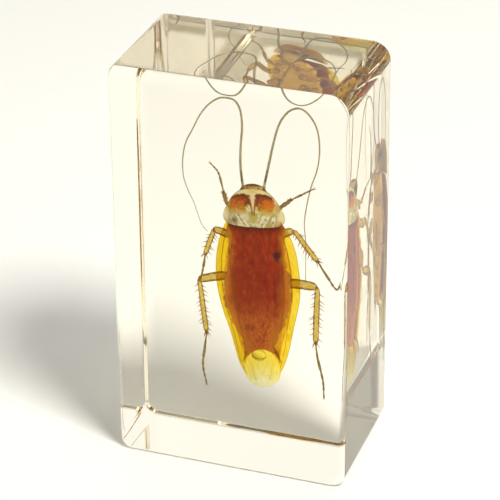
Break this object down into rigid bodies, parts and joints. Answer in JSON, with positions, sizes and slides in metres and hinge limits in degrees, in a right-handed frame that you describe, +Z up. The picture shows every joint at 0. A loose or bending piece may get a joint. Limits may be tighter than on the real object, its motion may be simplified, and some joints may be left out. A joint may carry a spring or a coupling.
{
  "type": "insect in resin block",
  "caption": "Clear cast resin block standing on its short end, with a whole dried cockroach sealed inside, back towards the front face.",
  "frame": {"origin": "middle of the base face that the block stands on", "axes": "+Z up the block's height, +X to the right across its width, -Y out of the front face that shows the insect's back"},
  "size_m": [0.041, 0.024, 0.073],
  "materials": {
    "clear_resin": "polished clear cast resin with a faint warm tint",
    "wing_membrane": "see-through amber wing with dark veins",
    "shield_cuticle": "pale cream shield with two chestnut blotches",
    "body_cuticle": "dark chestnut plates with paler seams",
    "limb_cuticle": "honey brown legs, spines and feelers",
    "eye": "glossy near-black compound eye"
  },
  "bodies": {
    "root": {"resin_block": "clear_resin"}
  },
  "joints": []
}
